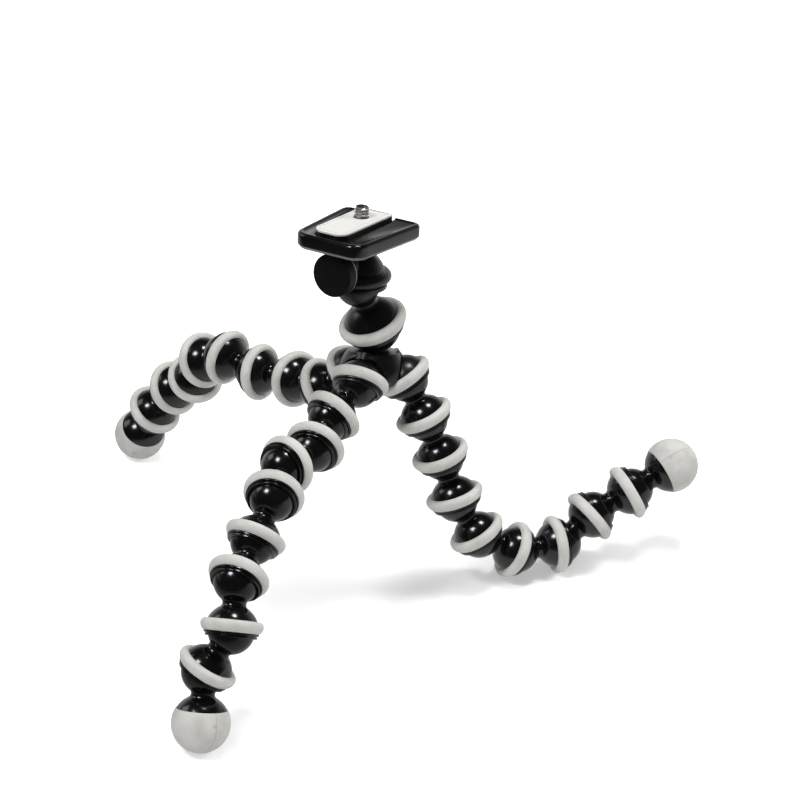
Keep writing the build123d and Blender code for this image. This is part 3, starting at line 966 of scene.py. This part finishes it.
@dataclass(frozen=True)
class Hub:
    """The hub, in millimetres about its centre: a ball along +Z, a cap, three webs and three sockets."""

    end: BallEnd
    kit: LinkKit
    ball: float = 11.15
    cut: float = 8.5
    rise: float = 3.5
    neck: float = 6.2
    neck_length: float = 0.4
    neck_edge: float = 0.35
    cap: float = 11.3
    cap_drop: float = 1.8
    cap_bevel: Point = (0.45, 0.55)
    cap_edges: tuple[float, float] = (0.5, 0.3)
    web: float = 14.7
    web_length: float = 11.9
    arch_gap: float = 1.4
    ring_gap: float = 1.15
    stem: float = 5.0
    stem_hold: float = 1.2
    stem_steps: int = 48
    steps: int = 144

    def _body(self) -> bmesh.types.BMesh:
        """Spin the ball, the neck, the cap and the round that the webs are cut from."""
        low = self.rise - half_width(self.ball, self.neck)
        rim = low - self.cap_drop
        centre, end = rim - half_width(self.web, self.cap), rim - self.web_length
        pen = Outline(0.0, self.rise + self.cut)
        pen.to(half_width(self.ball, self.cut), self.rise + self.cut, self.end.cut_edge)
        pen.arc(0.0, self.rise, degrees(atan2(low - self.rise, self.neck)), step=3.0)
        pen.to(self.neck, low - self.neck_length, self.neck_edge)
        across, above = self.cap_bevel
        pen.to(self.cap - across, rim + above, self.cap_edges[0]).to(self.cap, rim, self.cap_edges[1])
        pen.arc(0.0, centre, angle_at(self.web, end - centre), step=2.5)
        return pen.to(0.0, end).turned(self.steps)

    def _arch(self) -> bmesh.types.BMesh:
        """Spin the room for one socket: a gap round its dome and round its grip ring."""
        socket = self.kit.socket
        gap, start = socket.dome + self.arch_gap, socket.dome_edge - self.ring_gap / 2
        wide, out = socket.crown + self.ring_gap / 2, 3 * socket.crown
        pen = Outline(0.0, -gap).arc(0.0, 0.0, angle_at(gap, start), step=3.0)
        return pen.to(wide, start).to(wide, out).to(0.0, out).turned(self.steps)

    def _socket(self) -> bmesh.types.BMesh:
        """Spin one socket and the stem that carries it."""
        socket = self.kit.socket
        pen = Outline(0.0, -socket.dome).arc(0.0, 0.0, angle_at(socket.dome, socket.dome_edge), step=3.0)
        socket.draw_mouth(pen, 0.0)
        skin = pen.turned(self.steps)
        in_wall, in_web = socket.cup + socket.wall / 2, socket.dome + self.arch_gap + self.stem_hold
        stem = Outline(0.0, -in_wall).to(self.stem, -in_wall).to(self.stem, -in_web).to(0.0, -in_web)
        joined(skin, stem.turned(self.stem_steps), Matrix.Identity(4))
        return skin

    def build(self, bench: Bench, joints: dict[str, Joint]) -> None:
        """Build the hub's moulding and its grip rings.

        Args:
            bench: Makes the pieces.
            joints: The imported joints.
        """
        turn = joints["neck_turn"]
        centre = turn.centre - turn.axis * self.rise * MM
        place = facing(centre, turn.axis)
        sockets = [joints[f"{leg}_link_1_bend"].centre for leg in LEGS]
        arches = []
        for ball in sockets:
            arch = self._arch()
            arch.transform(place.inverted() @ facing(ball, ball - centre))
            arches.append(arch)
        satin, rubber = bench.finishes.satin, bench.finishes.rubber
        bench.piece("hub_web_moulding", bored(self._body(), arches), place, satin, "hub", ["hub"])
        for leg, ball in zip(LEGS, sockets):
            at_ball = facing(ball, ball - centre)
            bench.piece(f"hub_{leg}_socket", self._socket(), at_ball, satin, "hub", ["hub"])
            bench.piece(f"hub_{leg}_grip", self.kit.ring, at_ball, rubber, "hub", ["hub_rings"],
                        keep=True)


@dataclass(frozen=True)
class Neck:
    """The neck link, with a larger socket on the hub's ball and a leg-sized ball for the head."""

    kit: LinkKit

    def build(self, bench: Bench, joints: dict[str, Joint]) -> None:
        """Build the neck link and its grip ring.

        Args:
            bench: Makes the pieces.
            joints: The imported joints.
        """
        ball, socket = joints["head_tilt"].centre, joints["neck_turn"].centre
        along, finishes = socket - ball, bench.finishes
        bench.piece("neck_moulding", self.kit.link, facing(ball, along), finishes.satin, "neck_link",
                    ["neck_link"])
        bench.piece("neck_grip", self.kit.ring, facing(socket, along), finishes.rubber, "neck_link",
                    ["neck_ring"])


@dataclass(frozen=True)
class HeadSocket:
    """The head's clamp socket about its ball, in millimetres: +Y back and +Z up."""

    cup: float = 9.55
    wall: float = 2.85
    lip_drop: float = 0.5
    lip_height: float = 1.9
    lip_edges: tuple[float, float] = (0.35, 0.3)
    groove_depth: float = 0.7
    groove_height: float = 0.8
    flange: float = 14.1
    flange_height: float = 4.8
    flange_crown: float = 2.15
    flange_step: float = 0.5
    flange_edges: tuple[float, float] = (0.2, 0.25)
    dome: float = 11.6
    dome_rise: float = 4.0
    ledge: float = 0.8
    boss: float = 6.5
    top: float = 19.5
    steps: int = 144

    def _turned_part(self) -> bmesh.types.BMesh:
        """Spin the lip, groove, flange, dome and the boss under the tray."""
        outer = self.cup + self.wall
        lip_top = self.lip_height - self.lip_drop
        groove_top = lip_top + self.groove_height
        flange_top = groove_top + self.flange_height
        foot = Vector((outer + self.flange_step, groove_top))
        crown = Vector((self.flange, groove_top + self.flange_crown))
        dome_start = half_width(self.dome, flange_top - self.dome_rise)
        ledge = Vector((dome_start + self.ledge, flange_top))
        centre = circle_centre(foot, crown, ledge)
        pen = Outline(half_width(self.cup, self.lip_drop), -self.lip_drop)
        pen.to(outer, -self.lip_drop, self.lip_edges[0]).to(outer, lip_top, self.lip_edges[1])
        pen.to(outer - self.groove_depth, lip_top).to(outer - self.groove_depth, groove_top)
        pen.to(foot.x, foot.y, self.flange_edges[0])
        slope = degrees(atan2(ledge.y - centre.y, ledge.x - centre.x))
        pen.arc(centre.x, centre.y, slope, self.flange_edges[1]).to(dome_start, flange_top)
        boss_start = half_width(self.dome, self.boss)
        pen.arc(0.0, self.dome_rise, degrees(atan2(boss_start, self.boss)), step=3.0)
        pen.to(self.boss, self.top).to(0.0, self.top).to(0.0, self.cup)
        return pen.arc(0.0, 0.0, angle_at(self.cup, -self.lip_drop), step=4.0).turned(self.steps)

    def build(self, bench: Bench, place: Matrix, knob: "LockKnob") -> None:
        """Build the socket with its two bosses.

        Args:
            bench: Makes the pieces.
            place: From the head's millimetres to the frame.
            knob: The knob whose boss and bore the socket has.
        """
        skin = self._turned_part()
        cup = bmesh.new()
        bmesh.ops.create_uvsphere(cup, u_segments=96, v_segments=64, radius=self.cup)
        joined(skin, bored(knob.boss(), [cup, knob.bore()]), Matrix.Identity(4))
        bench.piece("head_socket_moulding", skin, place, bench.finishes.satin, "head", ["head_socket"])


@dataclass(frozen=True)
class LockKnob:
    """The plain round lock knob in front of the head, in millimetres."""

    radius: float = 9.3
    thickness: float = 5.8
    edge: float = 0.6
    # Width of the band of painted highlight on the back of the rim.
    painted_highlight: float = 0.4
    face: float = 20.3
    rise: float = 9.3
    stem: float = 3.0
    stem_length: float = 6.0
    stem_edge: float = 0.3
    boss_radius: float = 5.5
    boss_edge: float = 0.4
    boss_gap: float = 0.5
    bore_gap: float = 0.08
    steps: int = 144

    def _along(self, reach: float) -> Matrix:
        """Place on the knob's axis in the head's millimetres, facing the front."""
        return Matrix.Translation((0.0, -reach, self.rise)) @ Matrix.Rotation(pi / 2, 4, "X")

    def boss(self) -> bmesh.types.BMesh:
        """Spin the boss behind the knob, up to the head's axis."""
        face = self.face - self.thickness - self.boss_gap
        pen = Outline(0.0, 0.0).to(self.boss_radius, 0.0, self.boss_edge)
        skin = pen.to(self.boss_radius, -face).to(0.0, -face).turned(self.steps)
        skin.transform(self._along(face))
        return skin

    def bore(self) -> bmesh.types.BMesh:
        """Spin the bore in the boss that takes the knob's stem."""
        face, radius = self.face - self.thickness - self.boss_gap, self.stem + self.bore_gap
        pen = Outline(0.0, 1.0).to(radius, 1.0).to(radius, -self.stem_length)
        skin = pen.to(0.0, -self.stem_length).turned(64)
        skin.transform(self._along(face))
        return skin

    def build(self, bench: Bench, place: Matrix) -> None:
        """Build the knob.

        Args:
            bench: Makes the pieces.
            place: From the head's millimetres to the frame.
        """
        back, end = -self.thickness, -self.thickness - self.stem_length
        band = back + self.edge + self.painted_highlight
        pen = Outline(0.0, 0.0).to(self.radius, 0.0, self.edge).to(self.radius, band)
        pen.to(self.radius, back, self.edge).to(self.stem, back).to(self.stem, end, self.stem_edge)
        skin = pen.to(0.0, end).turned(self.steps)
        # The band at the back of the rim takes the painted highlight, a lighter grey arc in place of the
        # rim's reflection.
        mark(skin, back, band, -0.05)
        bench.piece("lock_knob_moulding", skin, place @ self._along(self.face), bench.finishes.matt,
                    "lock_knob", ["lock_knob"], accent=bench.finishes.painted_highlight)


@dataclass(frozen=True)
class Tray:
    """The tray and its channel, in the head's millimetres."""

    front_width: float = 33.4
    back_width: float = 39.6
    length: float = 44.5
    forward: float = 3.35
    rise: float = 19.5
    height: float = 6.9
    floor: float = 1.8
    front_corner: float = 7.0
    back_corner: float = 4.0
    edge: float = 1.5
    chamfer: float = 1.5
    bevel: float = 1.6
    softening: float = 0.1
    rim: float = 2.4
    dish: float = 0.5

    @property
    def front(self) -> float:
        """Where the tray starts, in front of the head's axis."""
        return -self.forward - self.length / 2

    @property
    def top(self) -> float:
        """Height of the rim."""
        return self.rise + self.height

    def build(self, bench: Bench, place: Matrix, plate: "QuickReleasePlate") -> None:
        """Build the tray.

        Args:
            bench: Makes the pieces.
            place: From the head's millimetres to the frame.
            plate: The plate that slides in its channel.
        """
        near, far, back = self.front_width / 2, self.back_width / 2, self.front + self.length
        outline = RoundedPlate(
            ((-near, self.front), (near, self.front), (far, back), (-far, back)),
            (self.front_corner, self.front_corner, self.back_corner, self.back_corner),
        )
        low, bed, soft = self.rise + self.bevel, self.top - self.dish, self.softening
        section = [(self.chamfer + 0.25, self.rise), (self.chamfer - soft, self.rise + soft)]
        section += [(0.12, low - soft), (0.0, low + 2 * soft)]
        section += quarter(0.0, self.top, self.edge, up=True)
        section += [(self.rim - 0.5, self.top), (self.rim - 0.3, self.top - 0.05)]
        section += [(self.rim + 0.05, bed + 0.08), (self.rim + 0.3, bed)]
        skin = bored(outline.lofted(section), plate.channel(self))
        # The lower bevel takes the painted highlight, a lighter grey line in place of the floor's
        # reflection in it.
        mark(skin, self.rise + soft / 2, low, 0.3)
        bench.piece("tray_moulding", skin, place, bench.finishes.tray, "head", ["tray"],
                    accent=bench.finishes.painted_highlight)


@dataclass(frozen=True)
class QuickReleasePlate:
    """The sliding plate with its light pad, in the head's millimetres."""

    width: float = 15.8
    length: float = 37.5
    corner: float = 5.0
    offset: float = -1.6
    wall: float = 3.6
    flange: float = 2.5
    flange_height: float = 2.2
    proud: float = 2.2
    gap: float = 0.35
    rest: float = 0.15
    pad: float = 1.0
    pad_inset: float = 0.12
    pad_edge: float = 0.4
    line: tuple[float, float, float, float] = (1.2, 1.3, 1.65, 1.75)
    line_depth: float = 0.35
    flange_edge: float = 0.3
    body_edge: float = 0.2
    back_corner: float = 0.6
    screw_from_front: float = 25.5

    def _tongue(self, width: float, length: float, front: float, corner: float) -> RoundedPlate:
        """Outline of a tongue with round front corners."""
        left, right = self.offset - width / 2, self.offset + width / 2
        corners = ((left, front), (right, front), (right, front + length), (left, front + length))
        return RoundedPlate(corners, (corner, corner, self.back_corner, self.back_corner))

    def channel(self, tray: Tray) -> list[bmesh.types.BMesh]:
        """Skins that cut the plate's channel out of the tray.

        Args:
            tray: The tray that is cut.

        Returns:
            The wide slot under the rails and the narrow one between them.
        """
        front, bottom = tray.front + self.wall - self.gap, tray.rise + tray.floor
        wide = self._tongue(self.width + 2 * (self.flange + self.gap), tray.length, front, self.corner)
        high = self._tongue(self.width + 2 * self.gap, tray.length, front, self.corner)
        slot_top = bottom + self.flange_height + 2 * self.rest
        lower = wide.lofted([(0.0, bottom), (0.0, slot_top)])
        return [lower, high.lofted([(0.0, bottom + 0.01), (0.0, tray.top + 5.0)])]

    def build(self, bench: Bench, place: Matrix, tray: Tray, screw: "CameraScrew") -> None:
        """Build the plate and its pad.

        Args:
            bench: Makes the pieces.
            place: From the head's millimetres to the frame.
            tray: The tray that it slides in.
            screw: The screw that passes through it.
        """
        front, bottom = tray.front + self.wall, tray.rise + tray.floor + self.rest
        top, step = tray.top + self.proud, bottom + self.flange_height
        under, bed = top - self.pad, top - self.line_depth
        wide = self._tongue(self.width + 2 * self.flange, self.length, front, self.corner)
        edges = quarter(0.0, bottom, self.flange_edge, up=False)
        flange = wide.lofted(edges + quarter(0.0, step, self.flange_edge, up=True))
        body = self._tongue(self.width, self.length, front, self.corner)
        raised = [(0.0, bottom + self.body_edge)] + quarter(0.0, under, self.body_edge, up=True)
        joined(flange, body.lofted(raised), Matrix.Identity(4))
        hole = screw.hole(bottom - 1.0, top + 1.0)
        hole.transform(Matrix.Translation((self.offset, front + self.screw_from_front, 0.0)))
        bench.piece("plate_moulding", flange, place, bench.finishes.satin, "quick_release_plate",
                    ["quick_release_plate"])
        section = [(self.pad_inset, under)] + quarter(0.0, top, self.pad_edge, up=True)
        section += zip(self.line, (top, bed, bed, top))
        bench.piece("plate_pad", bored(body.lofted(section), [hole]), place, bench.finishes.pad,
                    "quick_release_plate", ["quick_release_plate"])


@dataclass(frozen=True)
class CameraScrew:
    """The captive quarter-inch camera screw, in millimetres."""

    radius: float = 3.175
    thread_pitch: float = 1.27
    thread_depth: float = 0.76
    stand: float = 4.8
    start: float = 0.3
    neck: float = 2.4
    neck_hold: float = 0.2
    head: float = 6.0
    head_height: float = 1.5
    head_edge: float = 0.25
    slot: float = 1.4
    slot_depth: float = 0.8
    tip: float = 0.6
    gap: float = 0.08
    steps: int = 64

    def hole(self, low: float, high: float) -> bmesh.types.BMesh:
        """Spin the clearance hole that the screw passes through."""
        radius = self.radius + self.gap
        return Outline(0.0, low).to(radius, low).to(radius, high).to(0.0, high).turned(self.steps)

    def _thread(self, bottom: float, top: float) -> bmesh.types.BMesh:
        """Wind the thread: rows that climb one pitch a turn, trimmed flat at both ends.

        Args:
            bottom: Height where the thread starts.
            top: Height of the screw's tip.

        Returns:
            The closed skin of the threaded length.
        """
        profile = ((0.0, 1.0), (0.06, 1.0), (0.44, 0.0), (0.56, 0.0), (0.94, 1.0))
        turns = ceil((top - bottom) / self.thread_pitch) + 2
        rows = [(turn + share, depth) for turn in range(-1, turns) for share, depth in profile]
        skin = bmesh.new()
        grid = []
        for climb, depth in rows:
            ring = []
            for step in range(self.steps):
                angle = 2 * pi * step / self.steps
                height = bottom + (climb + step / self.steps) * self.thread_pitch
                height = min(max(height, bottom), top)
                radius = self.radius - self.thread_depth * (1.0 - depth)
                radius = min(radius, self.radius - self.tip + min(top - height, height - bottom))
                ring.append(skin.verts.new((radius * cos(angle), radius * sin(angle), height)))
            grid.append(ring)
        for number, (low, high) in enumerate(zip(grid, grid[1:])):
            for step in range(self.steps - 1):
                skin.faces.new((low[step], low[step + 1], high[step + 1], high[step]))
            beyond = number + len(profile)
            if beyond + 1 < len(grid):
                skin.faces.new((low[-1], grid[beyond][0], grid[beyond + 1][0], high[-1]))
        bmesh.ops.remove_doubles(skin, verts=list(skin.verts), dist=1e-4)
        bmesh.ops.dissolve_degenerate(skin, edges=list(skin.edges), dist=1e-4)
        bmesh.ops.holes_fill(skin, edges=[edge for edge in skin.edges if edge.is_boundary])
        bmesh.ops.recalc_face_normals(skin, faces=list(skin.faces))
        return skin

    def build(self, bench: Bench, place: Matrix, tray: Tray, plate: QuickReleasePlate) -> None:
        """Build the screw.

        Args:
            bench: Makes the pieces.
            place: From the head's millimetres to the frame.
            tray: The tray under the plate.
            plate: The plate that holds the screw captive.
        """
        bottom = tray.rise + tray.floor + 2 * plate.rest
        seat = tray.top + plate.proud
        head_top, neck_top = bottom + self.head_height, seat + self.start + self.neck_hold
        pen = Outline(0.0, bottom).to(self.head, bottom, self.head_edge)
        pen.to(self.head, head_top, self.head_edge).to(self.neck, head_top).to(self.neck, neck_top)
        head = pen.to(0.0, neck_top).turned(self.steps)
        slot = bmesh.new()
        bmesh.ops.create_cube(slot, size=1.0)
        slot.transform(Matrix.Translation((0.0, 0.0, bottom)) @ Matrix.Diagonal(
            (3 * self.head, self.slot, 2 * self.slot_depth, 1.0)))
        skin = bored(head, [slot])
        joined(skin, self._thread(seat + self.start, seat + self.stand), Matrix.Identity(4))
        back = tray.front + plate.wall + plate.screw_from_front
        at = place @ Matrix.Translation((plate.offset, back, 0.0))
        bench.piece("camera_screw_turning", skin, at, bench.finishes.steel, "camera_screw",
                    ["camera_screw"])


@dataclass
class CameraHead:
    """The camera head: socket, lock knob, tray, quick-release plate and camera screw."""

    joints: dict[str, Joint]
    socket: HeadSocket = field(default_factory=HeadSocket)
    knob: LockKnob = field(default_factory=LockKnob)
    tray: Tray = field(default_factory=Tray)
    plate: QuickReleasePlate = field(default_factory=QuickReleasePlate)
    screw: CameraScrew = field(default_factory=CameraScrew)

    def build(self, bench: Bench) -> None:
        """Build every piece of the head.

        Args:
            bench: Makes the pieces.
        """
        up, back = self.joints["camera_screw_turn"].axis, self.joints["plate_slide"].axis
        place = facing(self.joints["head_tilt"].centre, up, back.cross(up))
        self.socket.build(bench, place, self.knob)
        self.knob.build(bench, place)
        self.tray.build(bench, place, self.plate)
        self.plate.build(bench, place, self.tray, self.screw)
        self.screw.build(bench, place, self.tray, self.plate)


@dataclass
class Leg:
    """One leg: eight links with their rings, and its foot."""

    name: str
    joints: dict[str, Joint]
    kit: LinkKit
    foot: Foot

    def centres(self) -> list[Vector]:
        """Centres of the leg's balls in order, the foot's last."""
        names = [f"{self.name}_link_{number}_bend" for number in range(1, LINKS_PER_LEG + 1)]
        return [self.joints[name].centre for name in names + [f"{self.name}_foot_bend"]]

    def build(self, bench: Bench) -> None:
        """Build every link, ring and the foot of the leg.

        Args:
            bench: Makes the pieces.
        """
        balls, finishes = self.centres(), bench.finishes
        for number, (ball, following) in enumerate(zip(balls, balls[1:]), start=1):
            body, along = f"{self.name}_link_{number}", following - ball
            bench.piece(f"{self.name}_link_moulding_{number}", self.kit.link, facing(ball, along),
                        finishes.gloss, body, [body], keep=True)
            bench.piece(f"{self.name}_grip_{number}", self.kit.ring, facing(following, along),
                        finishes.rubber, body, [f"{self.name}_ring_{number}"], keep=True)
        self._build_foot(bench, balls[-1])

    def _build_foot(self, bench: Bench, ball: Vector) -> None:
        """Build the foot, aimed at the far end of its CAD solid.

        Args:
            bench: Makes the pieces.
            ball: Centre of the foot's ball.
        """
        body, finishes = f"{self.name}_foot", bench.finishes
        points = [vert.co for vert in frame["nodes"][body].data.vertices]
        tip = max(points, key=lambda point: (point - ball).length)
        place = facing(ball, tip - ball, Vector(SEAM_SIDE[self.name]))
        bench.piece(f"{self.name}_foot_stem", self.foot.stem(), place, finishes.gloss, body, [body])
        # The cap's seam and gate mark take the darker rubber of painted shade.
        bench.piece(f"{self.name}_foot_cap", self.foot.cap(), place, finishes.rubber, body, [body],
                    accent=finishes.painted_seam_shade)


@dataclass(frozen=True)
class Softbox:
    """A square lamp that faces the tripod: where it hangs and its side, in metres, and its watts."""

    name: str
    toward: tuple[float, float, float]
    distance: float
    size: float
    watts: float
    lights: bool = True
    mirrors: bool = True

    def hang(self, target: Vector) -> None:
        """Hang the lamp.

        Args:
            target: The point that it faces.
        """
        data = bpy.data.lights.new(self.name, "AREA")
        data.size, data.energy = self.size, self.watts
        lamp = shown(self.name, data)
        out = Vector(self.toward).normalized()
        turn = out.to_track_quat("Z", "Y").to_matrix().to_4x4()
        lamp.matrix_world = Matrix.Translation(target + out * self.distance) @ turn
        lamp.visible_diffuse, lamp.visible_glossy = self.lights, self.mirrors


@dataclass
class Studio:
    """Floor, lamps, world and the camera at the photograph's view, in metres and degrees."""

    focal_pixels: float = 2900.0
    picture_pixels: float = 800.0
    sensor: float = 36.0
    camera_place: tuple[float, float, float] = (0.00197, -1.09805, 0.65013)
    fall: float = 26.95
    roll: float = -0.71
    target: tuple[float, float, float] = (0.0, 0.0, 0.07)
    softboxes: tuple[Softbox, ...] = (
        Softbox("key softbox", (-0.46, -0.345, 0.82), 1.3, 0.33, 8.2),
        Softbox("back softbox", (0.18, 0.10, 0.98), 1.4, 0.27, 7.6),
        Softbox("left screen", (-0.80, 0.25, 0.55), 1.5, 0.60, 2.5, lights=False),
        Softbox("right fill", (0.85, 0.15, 0.50), 1.5, 0.50, 9.0, mirrors=False),
        Softbox("front fill", (0.35, -0.85, 0.40), 1.8, 1.2, 4.0, mirrors=False),
    )
    ambient: float = 0.26
    room: float = 0.030
    backdrop: float = 1.0
    backdrop_depth: tuple[float, float] = (-0.15, 0.75)
    backdrop_height: tuple[float, float] = (0.02, 0.62)
    floor_size: float = 6.0
    floor_colour: Colour = (0.82, 0.82, 0.82)
    floor_front: float = 0.05
    floor_back: float = 0.80
    floor_away: Colour = (0.6, 0.8, 0.0)
    floor_turn: tuple[float, float] = (-0.28, 0.0)
    floor_glow: float = 0.34
    glow_reach: tuple[float, float] = (0.08, 0.45)

    def build(self) -> None:
        """Build the whole studio."""
        self._camera()
        self._world()
        self._floor()
        for softbox in self.softboxes:
            softbox.hang(Vector(self.target))
        bpy.context.scene.view_settings.view_transform = "Standard"

    def _camera(self) -> None:
        """Place the camera."""
        data = bpy.data.cameras.new("camera")
        data.sensor_width = self.sensor
        data.lens = self.focal_pixels / self.picture_pixels * self.sensor
        data.clip_start, data.clip_end = 0.05, 50.0
        camera = shown("camera", data)
        level = Matrix.Rotation(radians(90.0 - self.fall), 4, "X")
        tip = level @ Matrix.Rotation(radians(self.roll), 4, "Z")
        camera.matrix_world = Matrix.Translation(self.camera_place) @ tip
        bpy.context.scene.camera = camera

    def _world(self) -> None:
        """A dim world for light, a white one for the eye, and a backdrop behind a dark room to mirror."""
        world = bpy.data.worlds.new("studio")
        world.use_nodes = True
        bpy.context.scene.world = world
        graph = Graph(world.node_tree)
        graph.tree.nodes.remove(graph.tree.nodes["Background"])
        spot = graph.add("TexCoord", {}).outputs["Generated"]
        split = graph.add("SeparateXYZ", {0: spot}).outputs
        behind = graph.spread(split["Y"], 0.0, 1.0, *self.backdrop_depth)
        low = graph.spread(split["Z"], 1.0, 0.0, *self.backdrop_height)
        spread = graph.spread(graph.maths("MULTIPLY", behind, low), self.room, self.backdrop)
        strengths = (self.ambient, spread, 1.0)
        dim, mirrored, white = [
            graph.add("Background", {"Color": (1.0, 1.0, 1.0, 1.0), "Strength": strength}).outputs[0]
            for strength in strengths
        ]
        rays = graph.add("LightPath", {}).outputs
        shiny = graph.maths("MAXIMUM", rays["Is Glossy Ray"], rays["Is Transmission Ray"])
        unseen = graph.blended(shiny, dim, mirrored)
        final = graph.blended(rays["Is Camera Ray"], unseen, white)
        graph.fill(graph.tree.nodes["World Output"], {"Surface": final})

    def _floor(self) -> None:
        """A pale floor that reads white to the eye and keeps the tripod's shadow."""
        skin = bmesh.new()
        bmesh.ops.create_circle(skin, cap_ends=True, segments=64, radius=self.floor_size)
        floor = shown("floor", mesh_of("floor", skin))
        floor.data.materials.append(self._floor_material())

    def _floor_material(self) -> bpy.types.Material:
        """Build the floor's material.

        Returns:
            A pale material that glows to the eye, mirrors dark in front and can't be seen from below.
        """
        build = NodeMaterial("pale floor")
        build.fill(build.shader, {
            "Base Color": (*self.floor_colour, 1.0), "Roughness": 0.9, "Specular IOR Level": 0.1,
        })
        plain = build.shader.outputs[0]
        away = build.add("VectorMath", {0: build.place, 1: self.floor_away}, operation="DOT_PRODUCT")
        out = build.add("VectorMath", {0: build.place}, operation="LENGTH")
        bright = build.spread(away.outputs["Value"], self.floor_front, self.floor_back, *self.floor_turn)
        glow = build.spread(out.outputs["Value"], self.floor_glow, 3 * self.floor_glow, *self.glow_reach)
        mirrored, glowing = [
            build.add("Emission", {"Strength": strength}).outputs[0] for strength in (bright, glow)
        ]
        lifted = build.add("AddShader", {0: plain, 1: glowing}).outputs[0]
        rays = build.add("LightPath", {}).outputs
        eye = build.blended(rays["Is Camera Ray"], plain, lifted)
        above = build.blended(rays["Is Glossy Ray"], eye, mirrored)
        clear = build.add("BsdfTransparent", {}).outputs[0]
        below = build.add("NewGeometry", {}).outputs["Backfacing"]
        final = build.blended(below, above, clear)
        build.fill(build.tree.nodes["Material Output"], {"Surface": final})
        return build.material


def dress_nodes(finishes: Finishes) -> None:
    """Give every CAD node that still shows a procedural finish.

    Args:
        finishes: The tripod's finishes.
    """
    by_name = {
        "quick_release_plate": finishes.pad, "camera_screw": finishes.steel, "lock_knob": finishes.matt,
    }
    for name, node in frame["nodes"].items():
        coat = by_name.get(name, finishes.rubber if "ring" in name else finishes.satin)
        node.data.materials.clear()
        node.data.materials.append(coat.material)


def main() -> None:
    """Build the tripod's pieces in order and set up the studio."""
    logging.basicConfig(level=logging.INFO, format="%(name)s: %(message)s")
    joints = joint_table()
    finishes = Finishes()
    bench = Bench(finishes)
    end = BallEnd()
    kit = LinkKit(BallSocket(), end)
    neck_socket = BallSocket(ball=11.15, wall=1.75, lip=2.9, ring_proud=2.0, ring_setback=3.1,
                             ring_dome_side=2.1, ring_lip_side=3.5, blend=2.2)
    foot = Foot(end)
    dress_nodes(finishes)
    Hub(end, kit).build(bench, joints)
    Neck(LinkKit(neck_socket, end, steps=144)).build(bench, joints)
    CameraHead(joints).build(bench)
    for name in LEGS:
        Leg(name, joints, kit, foot).build(bench)
    Studio().build()
    LOG.info("%d pieces", len(bench.made))


if __name__ == "__main__":
    main()
